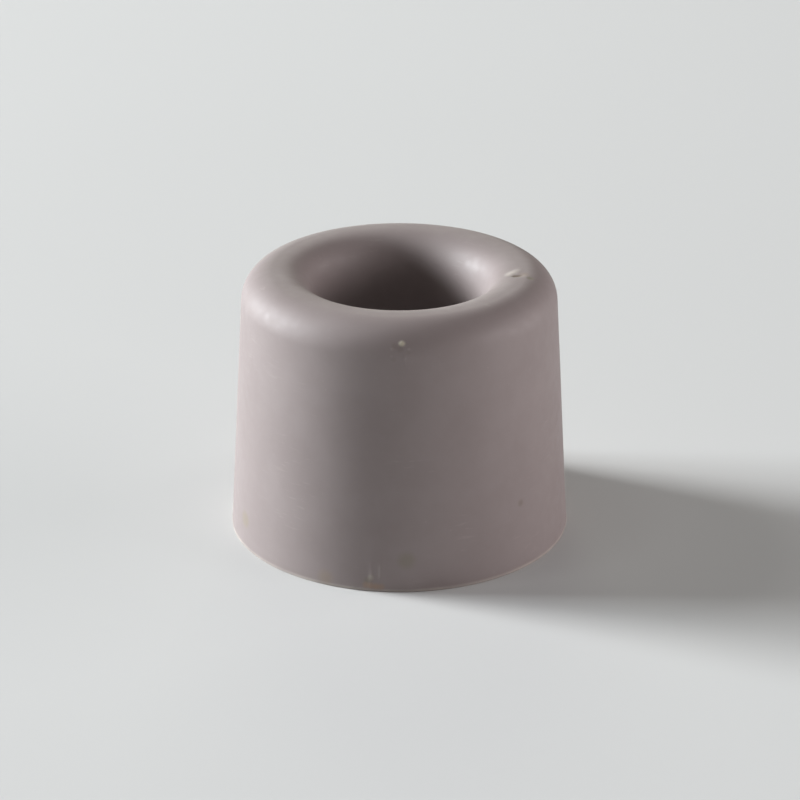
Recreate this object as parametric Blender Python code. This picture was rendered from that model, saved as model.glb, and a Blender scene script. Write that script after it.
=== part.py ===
"""Rubber door stop, 38 mm across the base and 30 mm high, with its washer and its screw.

All three pieces share one upright axis. The rubber body is turned: a tapered wall, a
rounded crown and a bell-mouthed bore. A countersunk steel washer sits in a groove at the
bottom of the bore. The wood screw that fixes the stop stands in the bore as it is
supplied, with its point just above the base, ready to be driven down until its head
seats in the washer.

The origin is the centre of the base, +Z runs up the axis, and units are metres.
"""

import math

import bmesh
import bpy

MM = 0.001
CLEARANCE = 0.3 * MM  # between pieces that touch on the real object

# Rubber body
BASE_RADIUS = 19.0 * MM
HEIGHT = 30.0 * MM
BASE_EDGE_RADIUS = 0.2 * MM
CROWN_ROUNDING = 3.6 * MM  # section radius of the outer shoulder
CREST_OUTER_RADIUS = 13.8 * MM  # the crown is level from here
CREST_INNER_RADIUS = 13.4 * MM  # to here, where it turns down into the bore
THROAT_RADIUS = 9.35 * MM  # where the bell mouth ends
THROAT_DEPTH = 7.3 * MM  # from the crest down to the throat
MOUTH_FULLNESS = 1.1  # how far the crest runs inwards, as a share of the mouth's width
MOUTH_UPRIGHTNESS = 0.47  # how far the throat runs upwards, as a share of its depth
BORE_FLOOR_RADIUS = 8.75 * MM  # the lip that keeps the washer in
WEB_THICKNESS = 4.5 * MM  # rubber between the washer and the base
BODY_SCREW_HOLE_RADIUS = 2.3 * MM

# Steel washer
WASHER_RADIUS = 9.0 * MM
WASHER_THICKNESS = 2.0 * MM
WASHER_EDGE_CHAMFER = 0.2 * MM
WASHER_HOLE_RADIUS = 2.4 * MM
COUNTERSINK_RADIUS = 4.3 * MM  # its cone stands at 45 degrees

# Wood screw, 4 mm by 20 mm
SCREW_LENGTH = 20.0 * MM
SCREW_POINT_HEIGHT = 0.3 * MM  # point above the base, before it is driven
HEAD_RADIUS = 3.8 * MM
HEAD_RIM = 0.25 * MM
NECK_RADIUS = 1.45 * MM
THREAD_RADIUS = 2.0 * MM
CORE_RADIUS = 1.3 * MM
THREAD_PITCH = 1.8 * MM
THREAD_TOP = 15.8 * MM  # above the point
NECK_START = 16.0 * MM  # above the point
POINT_LENGTH = 3.6 * MM
POINT_TIP_RADIUS = 0.12 * MM
CREST_SHARE = 0.14  # of the pitch: the thread's flat crest
FLANK_SHARE = 0.2  # of the pitch: each sloping flank
RECESS_DEPTH = 1.7 * MM
RECESS_REACH = 2.1 * MM  # half the recess's width across its slots
RECESS_SLOT = 0.45 * MM  # half the width of one slot
RECESS_TAPER = 0.35  # the recess's floor is this share of its mouth
RECESS_OVERCUT = 0.5 * MM  # the cutter's height above the head, so that it cuts cleanly

# Facets
BODY_SIDES = 64
WASHER_SIDES = 48
SCREW_SIDES = 16
ROWS_PER_PITCH = 8
CROWN_STEPS = 8
MOUTH_STEPS = 9
EDGE_STEPS = 3
SHARP_ANGLE = math.radians(35)


def clear_scene():
    for found in list(bpy.data.objects):
        bpy.data.objects.remove(found, do_unlink=True)


def material(name, colour, roughness, metallic):
    made = bpy.data.materials.new(name)
    made.use_nodes = True
    shader = made.node_tree.nodes["Principled BSDF"]
    shader.inputs["Base Color"].default_value = (*colour, 1.0)
    shader.inputs["Roughness"].default_value = roughness
    shader.inputs["Metallic"].default_value = metallic
    return made


def arc(centre_radius, centre_height, rounding, start, end, steps):
    """Points of an arc in the (radius, height) plane, from start to end in radians."""
    points = []
    for step in range(steps + 1):
        angle = start + (end - start) * step / steps
        points.append(
            (
                centre_radius + rounding * math.cos(angle),
                centre_height + rounding * math.sin(angle),
            )
        )
    return points


def bell_mouth():
    """Points on a cubic curve from the crest, where it is level, down to the throat, where it is upright."""
    width = CREST_INNER_RADIUS - THROAT_RADIUS
    top = (CREST_INNER_RADIUS, HEIGHT)
    shoulder = (CREST_INNER_RADIUS - MOUTH_FULLNESS * width, HEIGHT)
    cheek = (THROAT_RADIUS, HEIGHT - (1 - MOUTH_UPRIGHTNESS) * THROAT_DEPTH)
    bottom = (THROAT_RADIUS, HEIGHT - THROAT_DEPTH)
    corners = (top, shoulder, cheek, bottom)
    points = []
    for step in range(1, MOUTH_STEPS + 1):
        t = step / MOUTH_STEPS
        weights = ((1 - t) ** 3, 3 * (1 - t) ** 2 * t, 3 * (1 - t) * t**2, t**3)
        radius = sum(weight * corner[0] for weight, corner in zip(weights, corners))
        height = sum(weight * corner[1] for weight, corner in zip(weights, corners))
        points.append((radius, height))
    return points


def body_outline():
    """The body's closed section, from the screw hole out along the base, up the wall and down the bore."""
    edge_centre = (BASE_RADIUS - BASE_EDGE_RADIUS, BASE_EDGE_RADIUS)
    crown_centre = (CREST_OUTER_RADIUS, HEIGHT - CROWN_ROUNDING)
    # The wall is the line that touches both roundings, which sets its taper.
    inward = edge_centre[0] - crown_centre[0]
    upward = crown_centre[1] - edge_centre[1]
    apart = math.hypot(inward, upward)
    taper = math.atan2(inward, upward) - math.asin((CROWN_ROUNDING - BASE_EDGE_RADIUS) / apart)
    groove_radius = WASHER_RADIUS + CLEARANCE
    groove_top = WEB_THICKNESS + WASHER_THICKNESS + 2 * CLEARANCE
    outline = [(BODY_SCREW_HOLE_RADIUS, 0.0)]
    outline += arc(*edge_centre, BASE_EDGE_RADIUS, -math.pi / 2, taper, EDGE_STEPS)
    outline += arc(*crown_centre, CROWN_ROUNDING, taper, math.pi / 2, CROWN_STEPS)
    outline += [(CREST_INNER_RADIUS, HEIGHT)]
    outline += bell_mouth()
    outline += [
        (BORE_FLOOR_RADIUS, groove_top),
        (groove_radius, groove_top),
        (groove_radius, WEB_THICKNESS),
        (BODY_SCREW_HOLE_RADIUS, WEB_THICKNESS),
    ]
    return outline


def washer_outline():
    """The washer's closed section, measured up from its underside."""
    cone_height = COUNTERSINK_RADIUS - WASHER_HOLE_RADIUS
    return [
        (WASHER_HOLE_RADIUS, 0.0),
        (WASHER_RADIUS - WASHER_EDGE_CHAMFER, 0.0),
        (WASHER_RADIUS, WASHER_EDGE_CHAMFER),
        (WASHER_RADIUS, WASHER_THICKNESS - WASHER_EDGE_CHAMFER),
        (WASHER_RADIUS - WASHER_EDGE_CHAMFER, WASHER_THICKNESS),
        (COUNTERSINK_RADIUS, WASHER_THICKNESS),
        (WASHER_HOLE_RADIUS, WASHER_THICKNESS - cone_height),
    ]


def finish_mesh(name, shape, finish):
    """Turns a bmesh into an object with its own material, shaded smooth except at sharp edges."""
    bmesh.ops.recalc_face_normals(shape, faces=shape.faces)
    mesh = bpy.data.meshes.new(name)
    shape.to_mesh(mesh)
    shape.free()
    mesh.shade_smooth()
    mesh.set_sharp_from_angle(angle=SHARP_ANGLE)
    mesh.materials.append(finish)
    made = bpy.data.objects.new(name, mesh)
    bpy.context.scene.collection.objects.link(made)
    return made


def turned(name, outline, sides, finish):
    """A ring turned about the Z axis from a closed outline of (radius, height) points."""
    shape = bmesh.new()
    corners = [shape.verts.new((radius, 0.0, height)) for radius, height in outline]
    rims = [shape.edges.new(pair) for pair in zip(corners, corners[1:] + corners[:1])]
    bmesh.ops.spin(
        shape,
        geom=corners + rims,
        cent=(0.0, 0.0, 0.0),
        axis=(0.0, 0.0, 1.0),
        angle=math.tau,
        steps=sides,
        use_merge=True,
    )
    return finish_mesh(name, shape, finish)


def thread_rise(height, angle):
    """How far up its flank the thread is at this height and angle, from 0 at the root to 1 on the crest."""
    phase = (height / THREAD_PITCH - angle / math.tau) % 1.0
    from_crest = abs(phase - 0.5)
    return min(1.0, max(0.0, 1.0 - (from_crest - CREST_SHARE / 2) / FLANK_SHARE))


def screw_radius(height, angle):
    """The threaded shank's radius, which runs to a point at the bottom and out of its thread at the top."""
    point = min(1.0, height / POINT_LENGTH)
    run_out = min(1.0, max(0.0, (THREAD_TOP - height) / THREAD_PITCH))
    core = POINT_TIP_RADIUS + (CORE_RADIUS - POINT_TIP_RADIUS) * point
    crest = POINT_TIP_RADIUS + (THREAD_RADIUS - POINT_TIP_RADIUS) * point
    return core + (crest - core) * run_out * thread_rise(height, angle)


def screw_rings():
    """The screw's rings from its point up to its head: a (radius, height) pair for each side."""
    angles = [math.tau * side / SCREW_SIDES for side in range(SCREW_SIDES)]
    rows = round(THREAD_TOP / THREAD_PITCH * ROWS_PER_PITCH)
    rings = []
    for row in range(rows + 1):
        height = THREAD_TOP * row / rows
        rings.append([(screw_radius(height, angle), height) for angle in angles])
    rim_bottom = SCREW_LENGTH - HEAD_RIM
    neck_top = rim_bottom - (HEAD_RADIUS - NECK_RADIUS)
    for radius, height in (
        (NECK_RADIUS, NECK_START),
        (NECK_RADIUS, neck_top),
        (HEAD_RADIUS, rim_bottom),
        (HEAD_RADIUS, SCREW_LENGTH),
    ):
        rings.append([(radius, height)] * SCREW_SIDES)
    return rings


def screw(name, finish):
    """A countersunk wood screw that stands on its point at the object's origin."""
    shape = bmesh.new()
    rows = []
    for ring in screw_rings():
        row = []
        for side, (radius, height) in enumerate(ring):
            angle = math.tau * side / SCREW_SIDES
            row.append(shape.verts.new((radius * math.cos(angle), radius * math.sin(angle), height)))
        rows.append(row)
    for below, above in zip(rows, rows[1:]):
        for side in range(SCREW_SIDES):
            after = (side + 1) % SCREW_SIDES
            shape.faces.new((below[side], below[after], above[after], above[side]))
    shape.faces.new(list(reversed(rows[0])))
    shape.faces.new(rows[-1])
    return finish_mesh(name, shape, finish)


def recess_cutter(name):
    """A cross that narrows downwards, for the driver's recess. Its origin is level with the head's top."""
    slope = (1 - RECESS_TAPER) / RECESS_DEPTH
    levels = ((RECESS_OVERCUT, 1 + slope * RECESS_OVERCUT), (-RECESS_DEPTH, RECESS_TAPER))
    shape = bmesh.new()
    rows = []
    for height, share in levels:
        reach = RECESS_REACH * share
        quarter = [(reach, -RECESS_SLOT), (reach, RECESS_SLOT), (RECESS_SLOT, RECESS_SLOT)]
        corners = []
        for cos, sin in ((1, 0), (0, 1), (-1, 0), (0, -1)):
            corners += [(x * cos - y * sin, x * sin + y * cos) for x, y in quarter]
        rows.append([shape.verts.new((x, y, height)) for x, y in corners])
    top, bottom = rows
    for index, corner in enumerate(top):
        after = (index + 1) % len(top)
        shape.faces.new((corner, bottom[index], bottom[after], top[after]))
    shape.faces.new(top)
    shape.faces.new(list(reversed(bottom)))
    cutter = finish_mesh(name, shape, bpy.data.materials.new(name))
    cutter.hide_render = True
    cutter.display_type = "WIRE"
    return cutter


def cut(target, cutter):
    boolean = target.modifiers.new("recess", "BOOLEAN")
    boolean.operation = "DIFFERENCE"
    boolean.object = cutter


def build():
    clear_scene()
    assembly = bpy.data.objects.new("door_stop", None)
    bpy.context.scene.collection.objects.link(assembly)

    rubber = material("grey_rubber", (0.30, 0.255, 0.243), 0.6, 0.0)
    washer_steel = material("washer_steel", (0.62, 0.62, 0.60), 0.35, 1.0)
    screw_steel = material("screw_steel", (0.70, 0.69, 0.66), 0.3, 1.0)

    body = turned("rubber_body", body_outline(), BODY_SIDES, rubber)
    washer = turned("steel_washer", washer_outline(), WASHER_SIDES, washer_steel)
    washer.location.z = WEB_THICKNESS + CLEARANCE
    fixing = screw("fixing_screw", screw_steel)
    fixing.location.z = SCREW_POINT_HEIGHT
    cutter = recess_cutter("recess_cutter")
    cutter.location.z = SCREW_POINT_HEIGHT + SCREW_LENGTH
    cut(fixing, cutter)

    for piece in (body, washer, fixing, cutter):
        piece.parent = assembly


build()
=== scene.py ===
"""Looks of the rubber door stop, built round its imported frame.

Each of the three pieces is turned again at a finer step from the frame's own sizes. The
rubber body gets the small faults of a real moulding: grains and a pit in its surface, a
torn flap on the crown, a flash line with two runs at the base and a slight unevenness. The
washer gets its pressed edges, and the screw its thread and its driver recess. Lengths are
in metres.
"""

import math

import bmesh
import bpy
import numpy as np
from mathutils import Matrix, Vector, noise

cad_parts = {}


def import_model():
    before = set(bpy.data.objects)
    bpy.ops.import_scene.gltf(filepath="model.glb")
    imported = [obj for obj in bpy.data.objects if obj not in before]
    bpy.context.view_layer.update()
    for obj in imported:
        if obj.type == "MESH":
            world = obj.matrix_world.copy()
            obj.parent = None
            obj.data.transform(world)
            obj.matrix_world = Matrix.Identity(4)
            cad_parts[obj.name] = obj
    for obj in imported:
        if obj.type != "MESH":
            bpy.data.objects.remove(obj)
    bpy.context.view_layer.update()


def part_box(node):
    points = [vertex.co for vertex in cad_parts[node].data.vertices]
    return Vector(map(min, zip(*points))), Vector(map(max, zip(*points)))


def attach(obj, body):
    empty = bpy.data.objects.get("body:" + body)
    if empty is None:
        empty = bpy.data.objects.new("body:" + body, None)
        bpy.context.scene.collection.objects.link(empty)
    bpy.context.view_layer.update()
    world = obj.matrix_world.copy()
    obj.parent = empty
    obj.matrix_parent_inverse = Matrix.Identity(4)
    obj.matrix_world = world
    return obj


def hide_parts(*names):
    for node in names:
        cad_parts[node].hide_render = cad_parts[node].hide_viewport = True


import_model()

MM = 0.001
BODY_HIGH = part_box("rubber_body")[1]
WASHER_LOW, WASHER_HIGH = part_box("steel_washer")
SCREW_LOW, SCREW_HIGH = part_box("fixing_screw")

# Rubber body, in section
BASE_RADIUS = BODY_HIGH.y
HEIGHT = BODY_HIGH.z
FLASH_ROOM = 0.05 * MM  # left outside the wall at the base for the flash line
BASE_EDGE_ROUNDING = 0.12 * MM
CROWN_ROUNDING = 3.6 * MM
CREST_OUTER_RADIUS = 13.8 * MM
CREST_INNER_RADIUS = 13.4 * MM
THROAT_RADIUS = 9.35 * MM
THROAT_DEPTH = 7.3 * MM
MOUTH_FULLNESS = 1.1  # how far the crest runs inwards, as a share of the mouth's width
MOUTH_UPRIGHTNESS = 0.47  # how far the throat runs upwards, as a share of its depth
LIP_RADIUS = 8.75 * MM
WEB_THICKNESS = WASHER_LOW.z - 0.3 * MM
GROOVE_TOP = WASHER_HIGH.z + 0.3 * MM
GROOVE_RADIUS = WASHER_HIGH.y + 0.3 * MM
BODY_SCREW_HOLE_RADIUS = 2.3 * MM

# Washer, in section
WASHER_RADIUS = WASHER_HIGH.y
WASHER_HOLE_RADIUS = 2.4 * MM
COUNTERSINK_RADIUS = 4.3 * MM

# Screw
SCREW_POINT = SCREW_LOW.z
SCREW_LENGTH = SCREW_HIGH.z - SCREW_LOW.z
HEAD_RADIUS = SCREW_HIGH.x
HEAD_RIM = 0.25 * MM
NECK_RADIUS = 1.45 * MM
NECK_START = 16.0 * MM
THREAD_TOP = 15.8 * MM
THREAD_RADIUS = 2.0 * MM
CORE_RADIUS = 1.3 * MM
THREAD_PITCH = 1.8 * MM
POINT_LENGTH = 3.6 * MM
POINT_TIP_RADIUS = 0.08 * MM
CREST_SHARE = 0.08  # of the pitch: the thread's crest
FLANK_SHARE = 0.22  # of the pitch: each sloping flank
RECESS_DEPTH = 1.7 * MM
RECESS_REACH = 2.1 * MM
RECESS_SLOT = 0.42 * MM
RECESS_TAPER = 0.4
RECESS_CHAMFER = 0.12 * MM
RECESS_CONE_RADIUS = 1.05 * MM
RECESS_CONE_DEPTH = 1.9 * MM
CUTTER_OVERCUT = 0.5 * MM  # a cutter's height above the head, so that it cuts cleanly

# Surface faults of the moulding. Azimuths are about +Z from +X, in degrees. A length, width or
# reach is how far from its middle a fault falls to about a third.
PLAIN_HEIGHT, PLAIN_RADIUS = 0.05 * MM, 6 * MM  # below or inside these, nothing is uneven
WAVE_DEPTH, WAVE_SIZE = 0.012 * MM, 7 * MM
RIPPLE_DEPTH, RIPPLE_SIZE = 0.004 * MM, 1.6 * MM
CREASE_AZIMUTH, CREASE_RADIUS = -8.8, 12.85 * MM
CREASE_DEPTH, CREASE_LENGTH, CREASE_WIDTH = 0.17 * MM, 0.65 * MM, 0.44 * MM
FLAP_PROUD, FLAP_LENGTH, FLAP_WIDTH = 0.06 * MM, 0.8 * MM, 0.7 * MM
FLAP_INWARDS, FLAP_ASIDE, FLAP_SLANT = 0.25 * MM, 1.35 * MM, 0.9  # from the crease's middle
NICK_DEPTH = 1.5 * MM  # neither the crease nor the flap reaches further below the crest
DENT_AZIMUTH, DENT_RADIUS = -4.5, 12.4 * MM
DENT_DEPTH, DENT_REACH = 0.06 * MM, 1.6 * MM
PIT_AZIMUTH, PIT_RADIUS, PIT_DROP = -11.0, 14.5 * MM, 0.07 * MM
PIT_DEPTH, PIT_REACH = 0.05 * MM, 0.35 * MM
SPECK_AZIMUTH, SPECK_HEIGHT = -89.1, 28.13 * MM
SPECK_PROUD, SPECK_REACH = 0.06 * MM, 0.27 * MM
SPECKS_WITHIN = 4 * MM  # of the main one
FINE_SPECKS = ((-92.5, 27.6 * MM), (-86.8, 27.6 * MM), (-92.7, 26.8 * MM), (-88.0, 26.7 * MM))
FINE_SPECK_PROUD, FINE_SPECK_REACH = 0.045 * MM, 0.2 * MM
FLASH_HEIGHT, FLASH_WIDTH = 0.15 * MM, 0.12 * MM
FLASH_TOP, FLASH_INSIDE = 5 * MM, 17 * MM  # the flash and its runs keep below and outside these
RUNS = ((-99.4, 1.9 * MM, 0.07 * MM), (-96.6, 2.3 * MM, 0.06 * MM))  # azimuth, height, how proud
RUN_WIDTH, RUN_LENGTH = 0.18 * MM, 0.9 * MM

# Mesh steps
CURVE_STEP = 0.25 * MM
CURVE_TURN = 0.3  # the most that an arc turns in one step, in radians
STRAIGHT_STEP = 0.9 * MM
FAULT_STEP = 0.12 * MM  # within FAULT_REACH of a fault
FAULT_REACH = 1.4 * MM
SAME_POINT = 0.0001 * MM
COARSE_DEGREES = 1.8
FINE_DEGREES = 0.4
FINE_REACH_DEGREES = 6.0
DEGREES_GRADING = 0.12  # how fast the steps widen past that reach
WASHER_SIDES = 192
SCREW_SIDES = 64
THREAD_ROWS = 32  # in each pitch
CONE_SIDES = 32
FLOOR_SIDES = 128
SHARP_ANGLE = math.radians(38)
RECESS_SHARP_ANGLE = math.radians(22)

# Camera and lights
CAMERA_TARGET = Vector((0.071, 0.0, 14.27)) * MM
CAMERA_DISTANCE = 313.5 * MM
CAMERA_ELEVATION = 23.7
CAMERA_LENS, CAMERA_SENSOR = 126.35, 36  # both in millimetres
LIGHT_TARGET = Vector((0.0, 0.0, 17.0)) * MM
LIGHT_DISTANCE = 2.14
FLOOR_RADIUS = 6.3


# ---------------------------------------------------------------- outlines


def on_axis(azimuth, radius, height):
    """The point at this azimuth in degrees, radius and height."""
    angle = math.radians(azimuth)
    return Vector((radius * math.cos(angle), radius * math.sin(angle), height))


def rounded(corners, closed=True):
    """Points of an outline of (radius, height, rounding) corners, with an arc at each round one."""
    points = []
    count = len(corners)
    for index, (radius, height, rounding) in enumerate(corners):
        corner = np.array((radius, height))
        if rounding == 0 or (not closed and index in (0, count - 1)):
            points.append(corner)
            continue
        before = np.array(corners[index - 1][:2]) - corner
        after = np.array(corners[(index + 1) % count][:2]) - corner
        before /= np.linalg.norm(before)
        after /= np.linalg.norm(after)
        half = math.acos(float(np.clip(before @ after, -1, 1))) / 2
        middle = (before + after) / np.linalg.norm(before + after)
        centre = corner + middle * rounding / math.sin(half)
        start = corner + before * rounding / math.tan(half) - centre
        end = corner + after * rounding / math.tan(half) - centre
        sweep = math.pi - 2 * half
        steps = max(3, math.ceil(sweep * rounding / CURVE_STEP), math.ceil(sweep / CURVE_TURN))
        for step in range(steps + 1):
            share = step / steps
            first = math.sin((1 - share) * sweep) / math.sin(sweep)
            second = math.sin(share * sweep) / math.sin(sweep)
            points.append(centre + first * start + second * end)
    return points


def bell_mouth():
    """Points from the crest down to the throat, on the same cubic curve as the frame's."""
    width = CREST_INNER_RADIUS - THROAT_RADIUS
    corners = np.array(
        (
            (CREST_INNER_RADIUS, HEIGHT),
            (CREST_INNER_RADIUS - MOUTH_FULLNESS * width, HEIGHT),
            (THROAT_RADIUS, HEIGHT - (1 - MOUTH_UPRIGHTNESS) * THROAT_DEPTH),
            (THROAT_RADIUS, HEIGHT - THROAT_DEPTH),
        )
    )
    steps = math.ceil((width + THROAT_DEPTH) / CURVE_STEP)
    points = []
    for step in range(steps + 1):
        t = step / steps
        weights = np.array(((1 - t) ** 3, 3 * (1 - t) ** 2 * t, 3 * (1 - t) * t**2, t**3))
        points.append(weights @ corners)
    return points


def wall_line():
    """The wall's radius at the base and at the top, and its taper, if it touches both roundings."""
    base_centre = (BASE_RADIUS - FLASH_ROOM - BASE_EDGE_ROUNDING, BASE_EDGE_ROUNDING)
    crown_centre = (CREST_OUTER_RADIUS, HEIGHT - CROWN_ROUNDING)
    inward = base_centre[0] - crown_centre[0]
    upward = crown_centre[1] - base_centre[1]
    spread = math.asin((CROWN_ROUNDING - BASE_EDGE_ROUNDING) / math.hypot(inward, upward))
    taper = math.atan2(inward, upward) - spread
    at_crown = crown_centre[0] + CROWN_ROUNDING / math.cos(taper)
    foot = at_crown + crown_centre[1] * math.tan(taper)
    top = at_crown - CROWN_ROUNDING * math.tan(taper)
    return foot, top, taper


WALL_FOOT, WALL_TOP, WALL_TAPER = wall_line()


def on_wall(azimuth, height):
    """The point of the wall at this azimuth in degrees and this height."""
    return on_axis(azimuth, WALL_FOOT - height * math.tan(WALL_TAPER), height)


def divided(points, fine_places):
    """The closed outline with its long segments cut up, finely near the (radius, height) places."""
    made = []
    for index, start in enumerate(points):
        end = points[(index + 1) % len(points)]
        length = np.linalg.norm(end - start)
        if length < SAME_POINT:
            continue
        nearest = min(
            (np.linalg.norm((start + end) / 2 - np.array(place)) for place in fine_places),
            default=1.0,
        )
        step = FAULT_STEP if nearest < FAULT_REACH else STRAIGHT_STEP
        pieces = math.ceil(length / step)
        made += [start + (end - start) * piece / pieces for piece in range(pieces)]
    return np.array(made)


def graded_angles(fine_azimuths):
    """Azimuths in radians once round, close together near the given ones, in degrees."""
    angles = []
    azimuth = -180.0
    while azimuth < 180.0 - FINE_DEGREES / 2:
        angles.append(azimuth)
        nearest = min(abs(azimuth - fine) for fine in fine_azimuths)
        past = max(0.0, nearest - FINE_REACH_DEGREES)
        azimuth += min(COARSE_DEGREES, FINE_DEGREES + DEGREES_GRADING * past)
    return np.radians(angles)


# ------------------------------------------------------------------ meshes


def placed(name, shape):
    """An object of this name in the scene, with a bmesh's shape."""
    mesh = bpy.data.meshes.new(name)
    shape.to_mesh(mesh)
    shape.free()
    made = bpy.data.objects.new(name, mesh)
    bpy.context.scene.collection.objects.link(made)
    return made


def finished(name, vertices, faces):
    """An object from vertices and faces, shaded smooth except at sharp edges."""
    mesh = bpy.data.meshes.new(name)
    mesh.from_pydata([tuple(vertex) for vertex in vertices], [], faces)
    shape = bmesh.new()
    shape.from_mesh(mesh)
    bmesh.ops.recalc_face_normals(shape, faces=shape.faces)
    shape.to_mesh(mesh)
    shape.free()
    mesh.shade_smooth()
    mesh.set_sharp_from_angle(angle=SHARP_ANGLE)
    made = bpy.data.objects.new(name, mesh)
    bpy.context.scene.collection.objects.link(made)
    return made


def turned(name, outline, angles, raised=None):
    """A ring turned about the Z axis from a closed outline.

    raised gives how far each point stands proud, and the part of it that the material reads as "relief".
    """
    before = np.roll(outline, 1, axis=0)
    after = np.roll(outline, -1, axis=0)
    along = after - before
    along /= np.linalg.norm(along, axis=1)[:, None]
    normals = np.stack((along[:, 1], -along[:, 0]), axis=1)
    vertices = []
    reliefs = []
    for (radius, height), (out, up) in zip(outline, normals):
        for angle in angles:
            proud, relief = raised(radius, height, angle) if raised else (0.0, 0.0)
            reliefs.append(relief)
            ring_radius = radius + out * proud
            vertices.append(
                (
                    ring_radius * math.cos(angle),
                    ring_radius * math.sin(angle),
                    height + up * proud,
                )
            )
    rows, sides = len(outline), len(angles)
    faces = []
    for row in range(rows):
        above = (row + 1) % rows
        for side in range(sides):
            after_side = (side + 1) % sides
            faces.append(
                (
                    row * sides + side,
                    row * sides + after_side,
                    above * sides + after_side,
                    above * sides + side,
                )
            )
    made = finished(name, vertices, faces)
    if raised:
        layer = made.data.attributes.new("relief", "FLOAT", "POINT")
        layer.data.foreach_set("value", reliefs)
    return made


def bell_curve(distance, width):
    return math.exp(-((distance / width) ** 2))


def flat_topped(distance, width):
    return math.exp(-((distance / width) ** 4))


# ------------------------------------------------------------- rubber body


def unevenness(place):
    """The moulding's slow waves and finer ripple. They only shrink it, so it stays inside its sizes."""
    waves = WAVE_DEPTH * (noise.noise(place / WAVE_SIZE) - 1)
    ripple = RIPPLE_DEPTH * (noise.noise(place / RIPPLE_SIZE) - 1)
    return waves + ripple


def nick(radius, height, angle):
    """A torn flap on the crest: a low swelling, with an open crease on its -Y side."""
    if height < HEIGHT - NICK_DEPTH:
        return 0.0
    out = radius - CREASE_RADIUS
    across = radius * (angle - math.radians(CREASE_AZIMUTH))
    wobble = 1 + 0.3 * noise.noise(Vector((radius, radius * angle, height)) / (0.5 * MM))
    crease = CREASE_DEPTH * wobble * bell_curve(out, CREASE_LENGTH) * bell_curve(across, CREASE_WIDTH)
    past_flap = across - (FLAP_ASIDE + FLAP_SLANT * out)
    flap = FLAP_PROUD * bell_curve(out + FLAP_INWARDS, FLAP_LENGTH) * bell_curve(past_flap, FLAP_WIDTH)
    return flap - crease


def specks(place):
    """One grain caught in the mould low on the crown, with finer ones below it."""
    if (place - SPECK_PLACE).length > SPECKS_WITHIN:
        return 0.0
    lumps = 1 + 0.35 * noise.noise(place / (0.3 * MM))
    made = lumps * SPECK_PROUD * flat_topped((place - SPECK_PLACE).length, SPECK_REACH)
    for azimuth, height in FINE_SPECKS:
        distance = (place - on_crown(azimuth, height)).length
        made += FINE_SPECK_PROUD * flat_topped(distance, FINE_SPECK_REACH)
    return made


def flash(radius, height, angle):
    """The thin ragged line of flash round the base edge, and the short runs that climb from it."""
    if height > FLASH_TOP or radius < FLASH_INSIDE:
        return 0.0
    around = Vector((math.cos(angle), math.sin(angle), 0.0))
    ragged = 0.65 + 0.6 * noise.noise(around * 7) + 0.4 * noise.noise(around * 31)
    line = FLASH_ROOM * min(1.0, max(0.0, ragged)) * bell_curve(height - FLASH_HEIGHT, FLASH_WIDTH)
    for azimuth, middle, proud in RUNS:
        across = radius * (angle - math.radians(azimuth))
        line += proud * bell_curve(across, RUN_WIDTH) * flat_topped(height - middle, RUN_LENGTH)
    return line


def body_relief(radius, height, angle):
    """How far the moulding stands proud of its nominal surface, and how much of that is its faults."""
    if height < PLAIN_HEIGHT or radius < PLAIN_RADIUS:
        return 0.0, 0.0
    place = on_axis(math.degrees(angle), radius, height)
    dent = DENT_DEPTH * bell_curve((place - DENT_PLACE).length, DENT_REACH)
    pit = PIT_DEPTH * bell_curve((place - PIT_PLACE).length, PIT_REACH)
    faults = nick(radius, height, angle) + specks(place) + flash(radius, height, angle) - pit
    return unevenness(place) - dent + faults, faults


def crown_radius(height):
    """The outer radius of the crown's rounding at this height."""
    up = height - (HEIGHT - CROWN_ROUNDING)
    return CREST_OUTER_RADIUS + math.sqrt(max(0.0, CROWN_ROUNDING**2 - up**2))


def on_crown(azimuth, height):
    return on_axis(azimuth, crown_radius(height), height)


SPECK_PLACE = on_crown(SPECK_AZIMUTH, SPECK_HEIGHT)
DENT_PLACE = on_axis(DENT_AZIMUTH, DENT_RADIUS, HEIGHT)
PIT_PLACE = on_axis(PIT_AZIMUTH, PIT_RADIUS, HEIGHT - PIT_DROP)


def rubber_body():
    # Each corner of the section: its radius, its height and its rounding.
    corners = [
        (BODY_SCREW_HOLE_RADIUS, 0.0, 0.2 * MM),
        (WALL_FOOT, 0.0, BASE_EDGE_ROUNDING),
        (WALL_TOP, HEIGHT, CROWN_ROUNDING),
        (CREST_INNER_RADIUS, HEIGHT, 0.0),
        (LIP_RADIUS, GROOVE_TOP, 0.12 * MM),
        (GROOVE_RADIUS, GROOVE_TOP, 0.1 * MM),
        (GROOVE_RADIUS, WEB_THICKNESS, 0.25 * MM),
        (BODY_SCREW_HOLE_RADIUS, WEB_THICKNESS, 0.2 * MM),
    ]
    hole_edge = rounded([corners[-1], corners[0], corners[1]], closed=False)[1:-1]
    wall = rounded(corners[:4], closed=False)[1:-1]
    # The lip's arc needs the bore's slope beside it, so the throat stands in for the crest there.
    throat = (THROAT_RADIUS, HEIGHT - THROAT_DEPTH, 0.0)
    groove = rounded([throat] + corners[4:] + [corners[0]], closed=False)[1:-1]
    outline = divided(
        hole_edge + wall + bell_mouth() + groove,
        [
            (CREASE_RADIUS, HEIGHT),
            (PIT_RADIUS, HEIGHT),
            (crown_radius(SPECK_HEIGHT), SPECK_HEIGHT),
            (WALL_FOOT, RUNS[0][1]),
        ],
    )
    angles = graded_angles([DENT_AZIMUTH, PIT_AZIMUTH, SPECK_AZIMUTH, RUNS[0][0], RUNS[1][0]])
    return turned("moulded_body", outline, angles, body_relief)


# ------------------------------------------------------------------ washer


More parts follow.
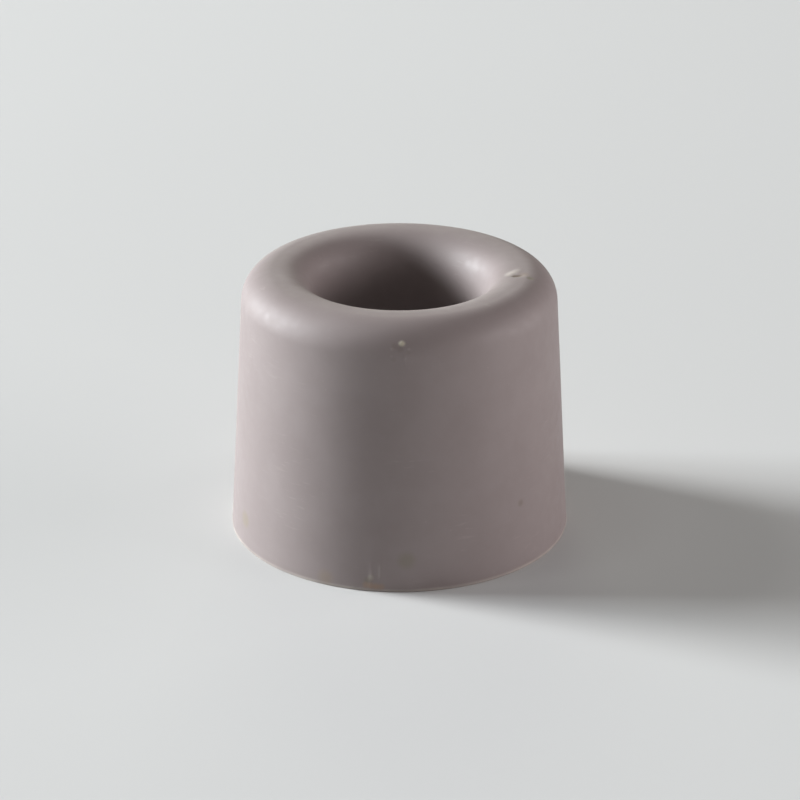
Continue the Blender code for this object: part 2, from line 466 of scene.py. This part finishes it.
def washer():
    """The countersunk washer: its top edge is rounded, and pressing leaves a sharper one underneath."""
    low, high = WASHER_LOW.z, WASHER_HIGH.z
    cone_foot = high - (COUNTERSINK_RADIUS - WASHER_HOLE_RADIUS)
    corners = [
        (WASHER_HOLE_RADIUS, low, 0.05 * MM),
        (WASHER_RADIUS, low, 0.1 * MM),
        (WASHER_RADIUS, high, 0.35 * MM),
        (COUNTERSINK_RADIUS, high, 0.12 * MM),
        (WASHER_HOLE_RADIUS, cone_foot, 0.03 * MM),
    ]
    angles = np.linspace(0, math.tau, WASHER_SIDES, endpoint=False)
    return turned("pressed_washer", divided(rounded(corners), []), angles)


# ------------------------------------------------------------------- screw


def thread_rise(height, angle):
    """How far up its flank the thread is, from 0 at the root to 1 on the crest."""
    phase = (height / THREAD_PITCH - angle / math.tau) % 1.0
    slope = 1.0 - (abs(phase - 0.5) - CREST_SHARE / 2) / FLANK_SHARE
    return min(1.0, max(0.0, slope))


def shank_radius(height, angle):
    point = min(1.0, height / POINT_LENGTH)
    run_out = min(1.0, max(0.0, (THREAD_TOP - height) / THREAD_PITCH))
    core = POINT_TIP_RADIUS + (CORE_RADIUS - POINT_TIP_RADIUS) * point
    crest = POINT_TIP_RADIUS + (THREAD_RADIUS - POINT_TIP_RADIUS) * point
    return core + (crest - core) * run_out * thread_rise(height, angle)


def screw_rings(angles):
    """Rings of (radius, height), one pair for each side, from the point up to the head's flat top."""
    rows = round(THREAD_TOP / THREAD_PITCH * THREAD_ROWS)
    rings = []
    for row in range(rows + 1):
        height = THREAD_TOP * row / rows
        rings.append([(shank_radius(height, angle), height) for angle in angles])
    rim_bottom = SCREW_LENGTH - HEAD_RIM
    neck_top = rim_bottom - (HEAD_RADIUS - NECK_RADIUS)
    head = [
        (CORE_RADIUS, THREAD_TOP, 0.0),
        (NECK_RADIUS, NECK_START, 0.1 * MM),
        (NECK_RADIUS, neck_top, 0.3 * MM),
        (HEAD_RADIUS, rim_bottom, 0.06 * MM),
        (HEAD_RADIUS, SCREW_LENGTH, 0.09 * MM),
        (RECESS_REACH * 1.3, SCREW_LENGTH, 0.0),
    ]
    for radius, height in rounded(head, closed=False)[1:]:
        rings.append([(radius, height)] * len(angles))
    return rings


def recess_cutter():
    """A chamfered cross that narrows downwards round a central cone, for the driver's recess."""
    slope = (1 - RECESS_TAPER) / RECESS_DEPTH
    # Each level: its height above the head, its share of the recess's size, and how far it flares.
    levels = [
        (CUTTER_OVERCUT, 1 + slope * CUTTER_OVERCUT, RECESS_CHAMFER + CUTTER_OVERCUT),
        (0.0, 1.0, RECESS_CHAMFER),
        (-RECESS_CHAMFER, 1 - slope * RECESS_CHAMFER, 0.0),
        (-RECESS_DEPTH, RECESS_TAPER, 0.0),
    ]
    shape = bmesh.new()
    rows = []
    for height, share, flare in levels:
        reach = RECESS_REACH * share + flare
        slot = RECESS_SLOT * (0.75 + 0.25 * share) + flare  # the slots narrow less than they shorten
        quarter = [(reach, -slot), (reach, slot), (slot, slot)]
        corners = []
        for cos, sin in ((1, 0), (0, 1), (-1, 0), (0, -1)):
            corners += [(x * cos - y * sin, x * sin + y * cos) for x, y in quarter]
        rows.append([shape.verts.new((x, y, height)) for x, y in corners])
    for upper, lower in zip(rows, rows[1:]):
        for index, corner in enumerate(upper):
            after = (index + 1) % len(upper)
            shape.faces.new((corner, lower[index], lower[after], upper[after]))
    shape.faces.new(rows[0])
    shape.faces.new(list(reversed(rows[-1])))
    bmesh.ops.recalc_face_normals(shape, faces=shape.faces)
    return placed("recess_cutter", shape)


def cone_cutter():
    """The tapered hole in the middle of the recess, where the driver's tip centres itself."""
    shape = bmesh.new()
    bmesh.ops.create_cone(
        shape,
        cap_ends=True,
        segments=CONE_SIDES,
        radius1=0.25 * RECESS_CONE_RADIUS,
        radius2=1.35 * RECESS_CONE_RADIUS,
        depth=RECESS_CONE_DEPTH + CUTTER_OVERCUT,
    )
    down = (CUTTER_OVERCUT - RECESS_CONE_DEPTH) / 2
    bmesh.ops.translate(shape, verts=shape.verts, vec=(0, 0, down))
    return placed("cone_cutter", shape)


def cut_away(target, cutters):
    """Cuts each cutter out of the target for good, and removes the cutters."""
    for cutter in cutters:
        boolean = target.modifiers.new(cutter.name, "BOOLEAN")
        boolean.operation = "DIFFERENCE"
        boolean.object = cutter
    graph = bpy.context.evaluated_depsgraph_get()
    cut_mesh = bpy.data.meshes.new_from_object(target.evaluated_get(graph))
    target.modifiers.clear()
    target.data = cut_mesh
    for cutter in cutters:
        bpy.data.objects.remove(cutter, do_unlink=True)
    target.data.shade_smooth()
    target.data.set_sharp_from_angle(angle=RECESS_SHARP_ANGLE)


def wood_screw():
    angles = [math.tau * side / SCREW_SIDES for side in range(SCREW_SIDES)]
    vertices = []
    for ring in screw_rings(angles):
        for (radius, height), angle in zip(ring, angles):
            vertices.append(
                (radius * math.cos(angle), radius * math.sin(angle), SCREW_POINT + height)
            )
    rings = len(vertices) // SCREW_SIDES
    faces = [tuple(reversed(range(SCREW_SIDES)))]
    for ring in range(rings - 1):
        for side in range(SCREW_SIDES):
            after = (side + 1) % SCREW_SIDES
            faces.append(
                (
                    ring * SCREW_SIDES + side,
                    ring * SCREW_SIDES + after,
                    (ring + 1) * SCREW_SIDES + after,
                    (ring + 1) * SCREW_SIDES + side,
                )
            )
    last = (rings - 1) * SCREW_SIDES
    faces.append(tuple(range(last, last + SCREW_SIDES)))
    made = finished("threaded_screw", vertices, faces)
    cutters = [recess_cutter(), cone_cutter()]
    for cutter in cutters:
        cutter.location.z = SCREW_POINT + SCREW_LENGTH
    cut_away(made, cutters)
    return made


# --------------------------------------------------------------- materials


class Graph:
    """One material's nodes, with a short call for each kind used here.

    A pattern's size is in metres.
    """

    def __init__(self, name):
        self.material = bpy.data.materials.new(name)
        self.material.use_nodes = True
        self.tree = self.material.node_tree
        self.shader = self.tree.nodes["Principled BSDF"]
        self.place = self.tree.nodes.new("ShaderNodeTexCoord").outputs["Object"]

    def feed(self, socket, value):
        if isinstance(value, bpy.types.NodeSocket):
            self.tree.links.new(value, socket)
        else:
            socket.default_value = value

    def node(self, kind, inputs, **settings):
        made = self.tree.nodes.new(kind)
        for name, value in settings.items():
            setattr(made, name, value)
        for name, value in inputs.items():
            self.feed(made.inputs[name], value)
        return made

    def noise(self, size, detail=2.0, place=None, distortion=0.0):
        inputs = {
            "Vector": place or self.place,
            "Scale": 1 / size,
            "Detail": detail,
            "Distortion": distortion,
        }
        return self.node("ShaderNodeTexNoise", inputs).outputs["Fac"]

    def cells(self, size, place=None):
        inputs = {"Vector": place or self.place, "Scale": 1 / size}
        return self.node("ShaderNodeTexVoronoi", inputs).outputs["Distance"]

    def stretched(self, scale):
        """The object's coordinates with each axis multiplied by scale."""
        made = self.node(
            "ShaderNodeVectorMath", {0: self.place, 1: scale}, operation="MULTIPLY"
        )
        return made.outputs["Vector"]

    def ramp(self, value, low, high, to_low=0.0, to_high=1.0):
        """A smooth step of value between low and high."""
        inputs = {
            "Value": value,
            "From Min": low,
            "From Max": high,
            "To Min": to_low,
            "To Max": to_high,
        }
        made = self.node("ShaderNodeMapRange", inputs, interpolation_type="SMOOTHSTEP")
        return made.outputs["Result"]

    def math(self, operation, first, second=0.0):
        return self.node("ShaderNodeMath", {0: first, 1: second}, operation=operation).outputs[0]

    def near(self, place, reach, softness):
        """1 within reach of a point, and 0 past reach + softness."""
        distance = self.node("ShaderNodeVectorMath", {0: self.place, 1: place}, operation="DISTANCE")
        return self.ramp(distance.outputs["Value"], reach, reach + softness, 1.0, 0.0)

    def axis(self, name):
        return self.node("ShaderNodeSeparateXYZ", {"Vector": self.place}).outputs[name]

    def from_axis(self):
        """Each point's distance from the Z axis."""
        flat = self.stretched((1.0, 1.0, 0.0))
        return self.node("ShaderNodeVectorMath", {0: flat}, operation="LENGTH").outputs["Value"]

    def attribute(self, name):
        return self.node("ShaderNodeAttribute", {}, attribute_name=name).outputs["Fac"]

    def mix(self, factor, first, second):
        made = self.tree.nodes.new("ShaderNodeMix")
        made.data_type = "RGBA"
        # A colour mix reads sockets 0, 6 and 7, and gives socket 2.
        self.feed(made.inputs[0], factor)
        self.feed(made.inputs[6], first)
        self.feed(made.inputs[7], second)
        return made.outputs[2]

    def bump(self, height, depth, strength=1.0, normal=None):
        inputs = {"Height": height, "Distance": depth, "Strength": strength}
        if normal is not None:
            inputs["Normal"] = normal
        return self.node("ShaderNodeBump", inputs).outputs["Normal"]

    def finish(self, colour, roughness, normal, metallic=0.0):
        self.feed(self.shader.inputs["Base Color"], colour)
        self.feed(self.shader.inputs["Roughness"], roughness)
        self.feed(self.shader.inputs["Normal"], normal)
        self.shader.inputs["Metallic"].default_value = metallic
        return self.material


RUBBER = (0.280, 0.233, 0.228, 1.0)
RUBBER_PALE = (0.305, 0.258, 0.252, 1.0)
RUBBER_DARK = (0.257, 0.212, 0.206, 1.0)
WORN_RUBBER_AND_HIGHLIGHT = (0.44, 0.385, 0.355, 1.0)
GRIT = (0.60, 0.55, 0.42, 1.0)
YELLOWED = (0.31, 0.235, 0.165, 1.0)
STAINED = (0.265, 0.222, 0.165, 1.0)
RUSTY = (0.37, 0.25, 0.185, 1.0)
HANDLED = (0.32, 0.31, 0.30, 1.0)
OLIVE = (0.22, 0.20, 0.145, 1.0)
GRIME_AND_SHADE = (0.12, 0.088, 0.058, 1.0)


def rubber_marks():
    """Small marks on the rubber: a point, its reach and softness, its colour and its strength."""
    return [
        # Painted shade in a dark crescent under the main speck and darker dots among the finer ones, then
        # the speck itself
        (on_crown(-89.7, 27.62 * MM), 0.1 * MM, 0.45 * MM, GRIME_AND_SHADE, 0.16),
        (on_crown(-91.7, 27.9 * MM), 0.1 * MM, 0.4 * MM, GRIME_AND_SHADE, 0.14),
        (on_crown(-86.9, 27.2 * MM), 0.1 * MM, 0.3 * MM, GRIME_AND_SHADE, 0.1),
        (on_crown(-92.0, 26.5 * MM), 0.1 * MM, 0.3 * MM, GRIME_AND_SHADE, 0.1),
        (on_crown(SPECK_AZIMUTH - 0.3, SPECK_HEIGHT), 0.05 * MM, 0.38 * MM, GRIT, 0.6),
        (on_crown(SPECK_AZIMUTH + 0.3, SPECK_HEIGHT), 0.05 * MM, 0.38 * MM, GRIT, 0.6),
        # The torn flap, painted pale as whitened rubber and as a painted highlight where light catches it,
        # and the pit beside it
        (on_axis(-5.6, 12.2 * MM, HEIGHT), 0.25 * MM, 0.8 * MM, WORN_RUBBER_AND_HIGHLIGHT, 0.95),
        (on_axis(-2.6, 12.8 * MM, HEIGHT), 0.1 * MM, 0.7 * MM, WORN_RUBBER_AND_HIGHLIGHT, 0.4),
        (on_axis(-7.4, 13.7 * MM, HEIGHT), 0.2 * MM, 0.7 * MM, YELLOWED, 0.3),
        (PIT_PLACE, 0.15 * MM, 0.45 * MM, OLIVE, 0.7),
        # The foot of the runs, with a rusty smear along the base edge
        (on_wall(RUNS[0][0], 1.6 * MM), 0.1 * MM, 0.4 * MM, GRIT, 0.25),
        (on_wall(-100.3, 1.2 * MM), 0.1 * MM, 0.6 * MM, OLIVE, 0.4),
        (on_wall(-101.0, 0.7 * MM), 0.1 * MM, 0.45 * MM, RUSTY, 0.6),
        (on_wall(-99.3, 0.65 * MM), 0.1 * MM, 0.45 * MM, RUSTY, 0.7),
        (on_wall(-97.6, 0.6 * MM), 0.1 * MM, 0.45 * MM, RUSTY, 0.7),
        (on_wall(-95.9, 0.6 * MM), 0.1 * MM, 0.45 * MM, RUSTY, 0.6),
        # Stains elsewhere on the wall
        (on_wall(-115.0, 0.9 * MM), 0.3 * MM, 1.0 * MM, YELLOWED, 0.35),
        (on_wall(-155.4, 3.3 * MM), 0.5 * MM, 0.8 * MM, STAINED, 0.6),
        (on_wall(-44.7, 7.8 * MM), 0.1 * MM, 0.5 * MM, GRIME_AND_SHADE, 0.3),
        (on_wall(-87.6, 3.7 * MM), 0.3 * MM, 1.1 * MM, OLIVE, 0.45),
    ]


def moulded_rubber():
    """Warm grey rubber: a faint mottle and bloom, pigment flecks, a satin moulded grain, pale worn rubber
    with a painted highlight on what stands proud, a painted highlight along the base edge and painted
    shade in the crease.
    """
    graph = Graph("moulded_rubber")
    mottle = graph.noise(6 * MM, detail=4)
    colour = graph.mix(graph.ramp(mottle, 0.3, 0.7), RUBBER_DARK, RUBBER_PALE)
    colour = graph.mix(0.6, colour, RUBBER)
    flecks = graph.ramp(graph.cells(0.9 * MM), 0.10, 0.03)
    colour = graph.mix(graph.math("MULTIPLY", flecks, 0.3), colour, RUBBER_PALE)
    dust = graph.ramp(graph.noise(0.5 * MM, detail=3), 0.68, 0.82)
    colour = graph.mix(graph.math("MULTIPLY", dust, 0.2), colour, WORN_RUBBER_AND_HIGHLIGHT)

    # Scuffs: short pale rubs that run round the wall, only where a patchy mask lets them show.
    streaks = graph.noise(0.7 * MM, detail=3, place=graph.stretched((0.35, 0.35, 2.2)))
    patches = graph.ramp(graph.noise(9 * MM, detail=2), 0.54, 0.7)
    scuffs = graph.math("MULTIPLY", graph.ramp(streaks, 0.58, 0.72), patches)
    colour = graph.mix(graph.math("MULTIPLY", scuffs, 0.18), colour, WORN_RUBBER_AND_HIGHLIGHT)

    # Painted highlight along the base edge: the bottom of the wall is painted paler, more in some places
    # than in others.
    outside = graph.ramp(graph.from_axis(), 16 * MM, 17 * MM)
    edge = graph.math("MULTIPLY", graph.ramp(graph.axis("Z"), 0.5 * MM, 0.15 * MM), outside)
    edge_highlight_strength = graph.ramp(graph.noise(2.5 * MM, detail=3), 0.3, 0.6, 0.6, 1.0)
    colour = graph.mix(graph.math("MULTIPLY", edge, edge_highlight_strength), colour, WORN_RUBBER_AND_HIGHLIGHT)

    # Whatever stands proud is painted paler, partly as worn rubber and partly as a painted highlight where
    # light catches the flap, the specks and the flash line; what is cut in gets painted shade, over any
    # other mark.
    relief = graph.attribute("relief")
    colour = graph.mix(graph.ramp(relief, 0.01 * MM, 0.1 * MM, 0.0, 0.75), colour, WORN_RUBBER_AND_HIGHLIGHT)
    for place, reach, softness, tone, strength in rubber_marks():
        near = graph.near(place, reach, softness)
        colour = graph.mix(graph.math("MULTIPLY", near, strength), colour, tone)
    # Painted shade in what is cut in: the crease most of all, a little in the pit.
    colour = graph.mix(graph.ramp(relief, -0.03 * MM, -0.12 * MM, 0.0, 0.7), colour, GRIME_AND_SHADE)

    roughness = graph.ramp(graph.noise(1.2 * MM, detail=3), 0.25, 0.75, 0.55, 0.645)
    grain = graph.bump(graph.noise(0.11 * MM, detail=2), 0.006 * MM, 0.5)
    peel = graph.bump(graph.noise(0.7 * MM, detail=2), 0.012 * MM, 0.3, grain)
    return graph.finish(colour, roughness, peel)


def zinc(name, bright, dull, smoothest, roughest, turning):
    """Zinc-plated steel: blotches of passivation, fine turning lines and a few handling marks.

    smoothest and roughest are roughnesses, and turning is the distance between the lines.
    """
    graph = Graph(name)
    blotches = graph.noise(2.2 * MM, detail=5, distortion=0.6)
    colour = graph.mix(graph.ramp(blotches, 0.35, 0.65), dull, bright)
    speckle = graph.ramp(graph.noise(0.3 * MM, detail=4), 0.4, 0.62, 0.0, 0.4)
    colour = graph.mix(speckle, colour, dull)
    marks = graph.noise(0.5 * MM, detail=3, place=graph.stretched((4.0, 0.5, 1.0)))
    marked = graph.ramp(marks, 0.6, 0.68)
    colour = graph.mix(graph.math("MULTIPLY", marked, 0.4), colour, HANDLED)
    rings = graph.math("SINE", graph.math("MULTIPLY", graph.from_axis(), math.tau / turning))
    fine = graph.noise(0.16 * MM, detail=2)
    roughness = graph.ramp(blotches, 0.3, 0.7, roughest, smoothest)
    normal = graph.bump(rings, 0.002 * MM, 0.35)
    normal = graph.bump(fine, 0.004 * MM, 0.4, normal)
    normal = graph.bump(marks, 0.01 * MM, 0.3, normal)
    return graph.finish(colour, roughness, normal, metallic=1.0)


def washer_zinc():
    bright, dull = (0.62, 0.63, 0.64, 1.0), (0.50, 0.50, 0.49, 1.0)
    return zinc("washer_zinc", bright, dull, 0.28, 0.42, 0.35 * MM)


def screw_zinc():
    bright, dull = (0.72, 0.72, 0.70, 1.0), (0.60, 0.59, 0.55, 1.0)
    return zinc("screw_zinc", bright, dull, 0.20, 0.34, 0.12 * MM)


def pale_floor():
    """Matt, near white and almost even, with very little gloss."""
    graph = Graph("pale_floor")
    tone = graph.ramp(graph.noise(0.25, detail=2), 0.3, 0.7)
    colour = graph.mix(tone, (0.635, 0.632, 0.625, 1.0), (0.645, 0.643, 0.637, 1.0))
    normal = graph.bump(graph.noise(0.6 * MM, detail=2), 0.01 * MM, 0.2)
    graph.shader.inputs["Specular IOR Level"].default_value = 0.1
    return graph.finish(colour, 0.85, normal)


# ------------------------------------------------------------------- stage


def floor():
    shape = bmesh.new()
    bmesh.ops.create_circle(shape, cap_ends=True, segments=FLOOR_SIDES, radius=FLOOR_RADIUS)
    made = placed("floor", shape)
    made.data.materials.append(pale_floor())


def from_front(azimuth, elevation):
    """A direction: azimuth 0 is the camera's side, which is -Y, and 90 is +X. Both are in degrees."""
    around, up = math.radians(azimuth), math.radians(elevation)
    return Vector(
        (math.sin(around) * math.cos(up), -math.cos(around) * math.cos(up), math.sin(up))
    )


def aimed(made, place, direction):
    """Links a camera or a light, at this place and facing this way."""
    bpy.context.scene.collection.objects.link(made)
    made.location = place
    made.rotation_euler = direction.to_track_quat("-Z", "Y").to_euler()
    return made


def camera():
    data = bpy.data.cameras.new("camera")
    data.lens = CAMERA_LENS
    data.sensor_width = CAMERA_SENSOR
    data.clip_start = 10 * MM
    towards = from_front(0, CAMERA_ELEVATION)
    place = CAMERA_TARGET + towards * CAMERA_DISTANCE
    made = aimed(bpy.data.objects.new("camera", data), place, -towards)
    bpy.context.scene.camera = made


def area_light(name, azimuth, elevation, size, power, colour):
    """A rectangular light of this size in metres and power in watts, facing the stop."""
    data = bpy.data.lights.new(name, "AREA")
    data.shape = "RECTANGLE"
    data.size, data.size_y = size
    data.energy = power
    data.color = colour
    towards = from_front(azimuth, elevation)
    aimed(bpy.data.objects.new(name, data), LIGHT_TARGET + towards * LIGHT_DISTANCE, -towards)


def studio():
    """Soft light from the left, less from the right, and faint light from behind and above."""
    area_light("key", -103.8, 17.5, (0.88, 0.53), 74.5, (0.985, 1.045, 1.08))
    area_light("high_key", -108, 24, (0.38, 1.9), 26.5, (1.0, 1.0, 0.99))
    area_light("fill", 87, 10, (2.55, 0.98), 39.0, (1.0, 0.94, 0.945))
    area_light("back", 183, 12.5, (0.95, 2.38), 9.6, (1.0, 1.05, 0.9))
    area_light("top", 0, 86, (2.25, 0.13), 8.2, (1.0, 1.0, 1.0))


def world():
    """A faint even light, with a pale tone where the camera looks past the floor."""
    made = bpy.data.worlds.new("studio")
    bpy.context.scene.world = made
    made.use_nodes = True
    tree = made.node_tree
    ambient = tree.nodes["Background"]
    ambient.inputs["Color"].default_value = (1.0, 1.0, 1.0, 1.0)
    ambient.inputs["Strength"].default_value = 0.037
    backdrop = tree.nodes.new("ShaderNodeBackground")
    backdrop.inputs["Color"].default_value = (0.5, 0.5, 0.5, 1.0)
    seen = tree.nodes.new("ShaderNodeLightPath")
    choice = tree.nodes.new("ShaderNodeMixShader")
    tree.links.new(seen.outputs["Is Camera Ray"], choice.inputs[0])
    tree.links.new(ambient.outputs[0], choice.inputs[1])
    tree.links.new(backdrop.outputs[0], choice.inputs[2])
    tree.links.new(choice.outputs[0], tree.nodes["World Output"].inputs["Surface"])


# ------------------------------------------------------------------- scene


def dress(piece, finish, node, body):
    """Gives a piece its material, and puts it in place of a CAD node on that node's body."""
    piece.data.materials.clear()
    piece.data.materials.append(finish)
    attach(piece, body)
    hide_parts(node)


camera()
dress(rubber_body(), moulded_rubber(), "rubber_body", "stop")
dress(washer(), washer_zinc(), "steel_washer", "stop")
dress(wood_screw(), screw_zinc(), "fixing_screw", "screw")
floor()
studio()
world()
bpy.context.scene.view_settings.view_transform = "Standard"
